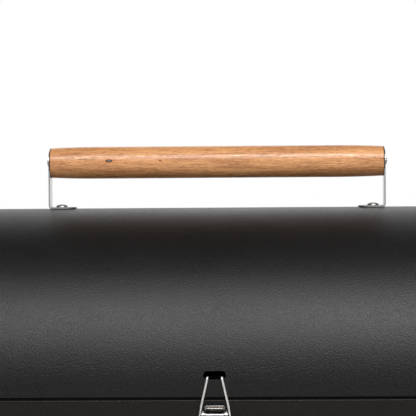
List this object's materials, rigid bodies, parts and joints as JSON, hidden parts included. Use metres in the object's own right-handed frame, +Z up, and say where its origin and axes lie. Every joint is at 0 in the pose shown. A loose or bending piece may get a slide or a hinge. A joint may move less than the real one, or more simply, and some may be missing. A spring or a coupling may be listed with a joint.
{
  "type": "offset smoker",
  "caption": "Barrel smoker with a hinged lid, toggle latch, side firebox with lid, draught disc and ash drawer, chimney with swinging cap and a wheeled stand.",
  "frame": {"origin": "on the floor under the middle of the overall box", "axes": "+X along the barrel towards the firebox, +Y towards the back, +Z up"},
  "size_m": [1.1145, 0.6134, 1.236],
  "materials": {
    "black_paint": "matt black high-temperature coat",
    "turned_wood": "clear satin varnish",
    "shelf_wood": "oiled",
    "zinc_plate": "zinc plated",
    "zinc_hardware": "zinc plated",
    "steel_wire": "bright drawn wire",
    "plated_grate": "plated",
    "bare_iron": "heat darkened",
    "gauge_steel": "polished",
    "gauge_dial": "printed",
    "gauge_glass": "clear",
    "gauge_needle": "painted red",
    "gasket_fibre": "woven glass fibre",
    "black_plastic": "moulded",
    "hub_plastic": "moulded",
    "tyre_rubber": "moulded"
  },
  "bodies": {
    "chassis": {"chamber_wall": "black_paint", "chamber_end_left": "black_paint", "chamber_end_right": "black_paint", "rim_strip": "black_paint", "cooking_grates": "plated_grate", "inner_rails": "black_paint", "grease_spout": "black_paint", "lid_hinge_fixed_leaves": "black_paint", "latch_base": "zinc_plate", "latch_rivets": "zinc_hardware", "firebox_gasket": "gasket_fibre", "firebox_shell": "black_paint", "firebox_end_left": "black_paint", "firebox_end_right": "black_paint", "charcoal_grate": "bare_iron", "firebox_hinge_fixed_leaves": "black_paint", "chimney_elbow": "black_paint", "chimney_pipe": "black_paint", "cradles": "black_paint", "legs_left": "black_paint", "legs_right": "black_paint", "foot_caps": "black_plastic", "axle": "zinc_hardware", "stand_bars": "black_paint", "bottom_shelf": "black_paint", "front_shelf_slats": "shelf_wood", "front_shelf_brackets": "black_paint", "frame_bolts": "zinc_hardware"},
    "lid": {"lid_wall": "black_paint", "lid_end_left": "black_paint", "lid_end_right": "black_paint", "lid_hinge_moving_leaves": "black_paint", "lid_hinge_pins": "zinc_hardware", "lid_handle_grip": "turned_wood", "lid_handle_bracket_left": "zinc_plate", "lid_handle_bracket_right": "zinc_plate", "lid_handle_end_screws": "zinc_hardware", "lid_handle_foot_bolts": "zinc_hardware", "thermometer_case": "gauge_steel", "thermometer_dial": "gauge_dial", "thermometer_glass": "gauge_glass", "thermometer_stem": "zinc_hardware"},
    "thermometer_needle": {"thermometer_needle": "gauge_needle"},
    "latch_lever": {"latch_lever": "zinc_plate", "latch_lever_pin": "zinc_hardware"},
    "latch_bail": {"latch_bail": "steel_wire"},
    "firebox_lid": {"firebox_lid_panel": "black_paint", "firebox_lid_grip": "turned_wood", "firebox_lid_brackets": "zinc_plate", "firebox_hinge_moving_leaves": "black_paint", "firebox_lid_fasteners": "zinc_hardware"},
    "firebox_vent": {"vent_disc": "zinc_plate", "vent_knob": "black_plastic"},
    "ash_drawer": {"ash_drawer_tray": "black_paint", "ash_drawer_pull": "steel_wire"},
    "chimney_cap": {"chimney_cap": "black_paint"},
    "wheel_front": {"wheel_front_hub": "hub_plastic", "wheel_front_tyre": "tyre_rubber"},
    "wheel_back": {"wheel_back_hub": "hub_plastic", "wheel_back_tyre": "tyre_rubber"}
  },
  "joints": [
    {"name": "lid_hinge", "type": "hinge", "parent": "chassis", "child": "lid", "pos_m": [-0.1115, 0.27475, 0.8], "axis": [-1, 0, 0], "range_deg": [0, 95]},
    {"name": "thermometer_needle_pivot", "type": "hinge", "parent": "lid", "child": "thermometer_needle", "pos_m": [-0.3735, -0.04609, 0.91776], "axis": [0, 0.766, -0.6428], "range_deg": [0, 270]},
    {"name": "latch_lever_pivot", "type": "hinge", "parent": "chassis", "child": "latch_lever", "pos_m": [-0.1115, -0.09023, 0.78532], "axis": [-1, 0, 0], "range_deg": [0, 130]},
    {"name": "latch_bail_pivot", "type": "hinge", "parent": "latch_lever", "child": "latch_bail", "pos_m": [-0.1115, -0.08739, 0.76957], "axis": [-1, 0, 0], "range_deg": [-130, 0]},
    {"name": "firebox_lid_hinge", "type": "hinge", "parent": "chassis", "child": "firebox_lid", "pos_m": [0.3715, 0.17434, 0.82329], "axis": [-1, 0, 0], "range_deg": [0, 100]},
    {"name": "firebox_vent_turn", "type": "hinge", "parent": "chassis", "child": "firebox_vent", "pos_m": [0.5235, 0.09425, 0.7], "axis": [1, 0, 0], "range_deg": [0, 45]},
    {"name": "ash_drawer_slide", "type": "slide", "parent": "chassis", "child": "ash_drawer", "axis": [1, 0, 0], "range_m": [0, 0.2]},
    {"name": "chimney_cap_swing", "type": "hinge", "parent": "chassis", "child": "chimney_cap", "pos_m": [-0.5115, 0.14325, 1.23], "axis": [0, 0, -1], "range_deg": [0, 110]},
    {"name": "wheel_front_spin", "type": "hinge", "parent": "chassis", "child": "wheel_front", "pos_m": [-0.3615, -0.09375, 0.08], "axis": [0, 1, 0], "continuous": true},
    {"name": "wheel_back_spin", "type": "hinge", "parent": "chassis", "child": "wheel_back", "pos_m": [-0.3615, 0.28225, 0.08], "axis": [0, 1, 0], "continuous": true}
  ],
  "couplings": [
    {"joint": "latch_bail_pivot", "follows": "latch_lever_pivot", "ratio": -1}
  ]
}
